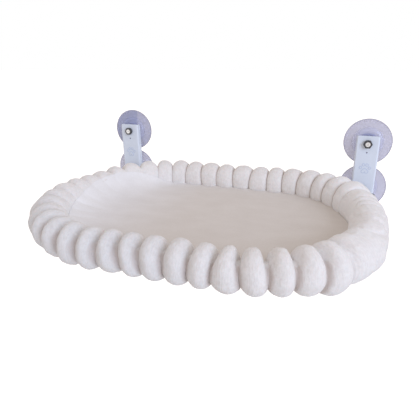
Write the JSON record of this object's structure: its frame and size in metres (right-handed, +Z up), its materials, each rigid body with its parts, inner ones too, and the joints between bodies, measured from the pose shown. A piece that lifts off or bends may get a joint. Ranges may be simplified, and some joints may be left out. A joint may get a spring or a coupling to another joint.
{
  "type": "window mounted cat perch",
  "caption": "Padded oval bed with a ring of plush lobes on a tube frame that folds up on two wall brackets held to glass by suction cups.",
  "frame": {"origin": "on the window pane, midway between the four suction cups", "axes": "+X runs level along the pane towards the right bracket as seen from the room, +Y points into the pane, +Z is up"},
  "size_m": [0.529, 0.3883, 0.1655],
  "materials": {
    "cup_vinyl": "clear soft vinyl with a lilac tint, glossy",
    "stud_steel": "nickel plated, bright",
    "zinc_steel": "bright zinc plated",
    "bracket_paint": "smooth satin powder coat, pale blue white",
    "tube_paint": "smooth satin powder coat, pale blue white",
    "bush_nylon": "natural nylon, smooth",
    "insert_brass": "plain turned brass",
    "sling_cloth": "plain woven polyester cloth",
    "strap_webbing": "hook-and-loop band, brushed",
    "seat_fleece": "short-pile fleece, brushed",
    "bolster_fleece": "short-pile plush, soft"
  },
  "bodies": {
    "wall_brackets": {"suction_cup_upper_left": "cup_vinyl", "suction_cup_upper_right": "cup_vinyl", "suction_cup_lower_left": "cup_vinyl", "suction_cup_lower_right": "cup_vinyl", "cup_studs": "stud_steel", "spring_washers": "stud_steel", "stud_nuts": "stud_steel", "bracket_left": "bracket_paint", "bracket_right": "bracket_paint", "hinge_bracket_left": "bracket_paint", "hinge_bracket_right": "bracket_paint", "hinge_screws": "zinc_steel", "hinge_screw_nuts": "zinc_steel", "hinge_pins": "zinc_steel", "hinge_pin_nuts": "zinc_steel"},
    "bed": {"swing_arm_left": "bracket_paint", "swing_arm_right": "bracket_paint", "hinge_bushes": "bush_nylon", "frame_tube_left": "tube_paint", "frame_tube_right": "tube_paint", "tube_joiner_front": "zinc_steel", "tube_joiner_rear": "zinc_steel", "joiner_screws": "zinc_steel", "tube_screws": "zinc_steel", "tube_inserts": "insert_brass", "sling": "sling_cloth", "fixing_straps": "strap_webbing", "seat_pad": "seat_fleece", "bolster_front": "bolster_fleece", "bolster_rear": "bolster_fleece", "bolster_left": "bolster_fleece", "bolster_right": "bolster_fleece"}
  },
  "joints": [
    {"name": "fold", "type": "hinge", "parent": "wall_brackets", "child": "bed", "pos_m": [0, -0.06319, -0.0372], "axis": [-1, 0, 0], "range_deg": [0, 95]}
  ]
}
